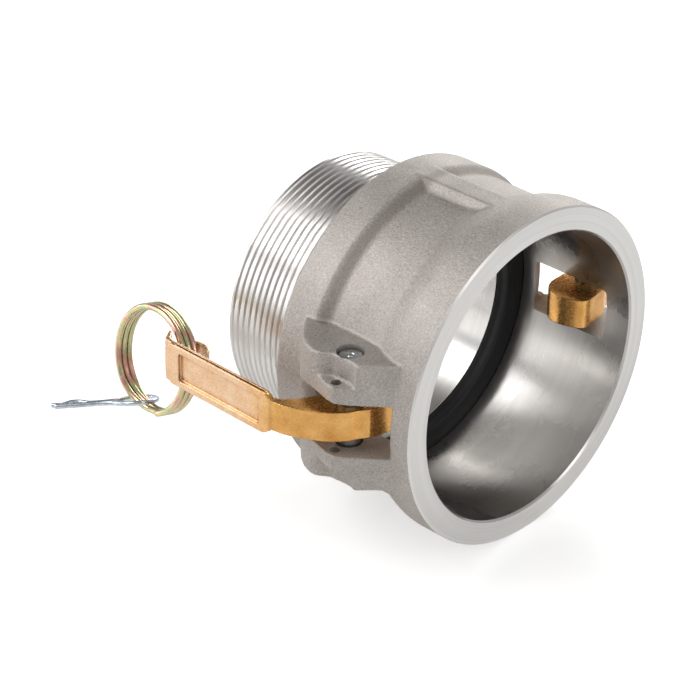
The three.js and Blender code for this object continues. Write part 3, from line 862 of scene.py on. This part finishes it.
floor_z = cad_lo.z - 0.0002
fm = bpy.data.meshes.new("floor")
S = 6.0
fm.from_pydata([(-S, -S, floor_z), (S, -S, floor_z), (S, S, floor_z), (-S, S, floor_z)], [], [(0, 1, 2, 3)])
floor = bpy.data.objects.new("floor", fm)
scene.collection.objects.link(floor)
fmat = bpy.data.materials.new("pale_floor")
fmat.use_nodes = True
nt = fmat.node_tree
pb = nt.nodes["Principled BSDF"]
pb.inputs["Base Color"].default_value = (0.80, 0.80, 0.80, 1)
pb.inputs["Roughness"].default_value = 0.16
pb.inputs["Specular IOR Level"].default_value = 0.55
pb.inputs["Emission Color"].default_value = (1, 1, 1, 1)
pb.inputs["Emission Strength"].default_value = 0.52
flp = nt.nodes.new("ShaderNodeLightPath")
fmr = nt.nodes.new("ShaderNodeMapRange")
fmr.inputs[3].default_value, fmr.inputs[4].default_value = 0.16, 0.56
nt.links.new(flp.outputs["Is Camera Ray"], fmr.inputs[0])
nt.links.new(fmr.outputs[0], pb.inputs["Emission Strength"])
fm.materials.append(fmat)

world = bpy.data.worlds.new("studio")
scene.world = world
world.use_nodes = True
wn = world.node_tree
bg = wn.nodes["Background"]
tc = wn.nodes.new("ShaderNodeTexCoord")
sep = wn.nodes.new("ShaderNodeSeparateXYZ")
wn.links.new(tc.outputs["Generated"], sep.inputs[0])
rampn = wn.nodes.new("ShaderNodeValToRGB")
mapn = wn.nodes.new("ShaderNodeMapRange")
mapn.inputs[1].default_value, mapn.inputs[2].default_value = -0.2, 1.0
wn.links.new(sep.outputs[2], mapn.inputs[0])
wn.links.new(mapn.outputs[0], rampn.inputs[0])
e = rampn.color_ramp.elements
e[0].position, e[0].color = 0.0, (0.46, 0.46, 0.46, 1)
e[1].position, e[1].color = 1.0, (0.38, 0.372, 0.365, 1)
for pos_, v_ in ((0.22, 0.50), (0.42, 0.46), (0.70, 0.40)):
    q_ = e.new(pos_)
    q_.color = (v_, v_, v_, 1)
lp = wn.nodes.new("ShaderNodeLightPath")
mixn = wn.nodes.new("ShaderNodeMix")
mixn.data_type = "RGBA"
wn.links.new(lp.outputs["Is Camera Ray"], mixn.inputs[0])
# a dark panel high behind the left, as a studio flag
flag = wn.nodes.new("ShaderNodeVectorMath")
flag.operation = "DOT_PRODUCT"
flag.inputs[1].default_value = (-0.60, 0.36, 0.715)
wn.links.new(tc.outputs["Generated"], flag.inputs[0])
fr = wn.nodes.new("ShaderNodeMapRange")
fr.interpolation_type = "SMOOTHSTEP"
for i_, v_ in enumerate((0.90, 0.975, 1.0, 0.22)):
    fr.inputs[i_ + 1].default_value = v_
wn.links.new(flag.outputs["Value"], fr.inputs[0])
mul = wn.nodes.new("ShaderNodeMix")
mul.data_type = "RGBA"
mul.blend_type = "MULTIPLY"
mul.inputs[0].default_value = 1.0
wn.links.new(rampn.outputs[0], mul.inputs[6])
wn.links.new(fr.outputs[0], mul.inputs[7])
wn.links.new(mul.outputs[2], mixn.inputs[6])
mixn.inputs[7].default_value = (1, 1, 1, 1)
wn.links.new(mixn.outputs[2], bg.inputs[0])
bg.inputs[1].default_value = 1.0


def area(name, loc, target, size, size_y, power, color=(1, 1, 1)):
    d = bpy.data.lights.new(name, "AREA")
    d.shape = "RECTANGLE"
    d.size, d.size_y = size, size_y
    d.energy = power
    d.color = color
    ob = bpy.data.objects.new(name, d)
    scene.collection.objects.link(ob)
    ob.location = loc
    ob.rotation_mode = "QUATERNION"
    ob.rotation_quaternion = (Vector(target) - Vector(loc)).to_track_quat("-Z", "Y")
    return ob


area("key", (-0.46, -0.55, 0.76), (0, 0, 0), 0.6, 0.6, 4.2)
area("low", (-0.95, -0.62, 0.20), (0, 0, 0), 0.9, 0.45, 2.1)
area("rear", (-0.42, 0.88, 0.36), (0, 0, 0), 0.8, 0.35, 3.4)
area("side", (0.95, 0.05, 0.35), (0, 0, 0), 0.5, 0.8, 2.5)

# camera
az, el, roll = math.radians(43.46), math.radians(29.82), math.radians(-1.29)
d = np.array([math.sin(az) * math.cos(el), -math.cos(az) * math.cos(el), math.sin(el)])
right = np.array([math.cos(az), math.sin(az), 0.0])
up = np.cross(d, right)
c, s = math.cos(roll), math.sin(roll)
R = np.array([[c, -s, 0], [s, c, 0], [0, 0, 1]]) @ np.stack([right, up, d])
t = np.array([70.8, -11.0, -922.0])
pos = -R.T @ t
cam_data = bpy.data.cameras.new("camera")
cam_data.sensor_width = 36.0
cam_data.lens = 2380.0 / 700.0 * 36.0
cam_data.clip_start, cam_data.clip_end = 0.01, 50.0
cam = bpy.data.objects.new("camera", cam_data)
scene.collection.objects.link(cam)
M = Matrix.Identity(4)
for i in range(3):
    for j in range(3):
        M[i][j] = R[j][i]
M[0][3], M[1][3], M[2][3] = (pos[0] + MX) / 1000.0, pos[1] / 1000.0, pos[2] / 1000.0
cam.matrix_world = M
scene.camera = cam
scene.view_settings.view_transform = "Standard"
scene.view_settings.look = "None"
scene.view_settings.exposure = 0.0
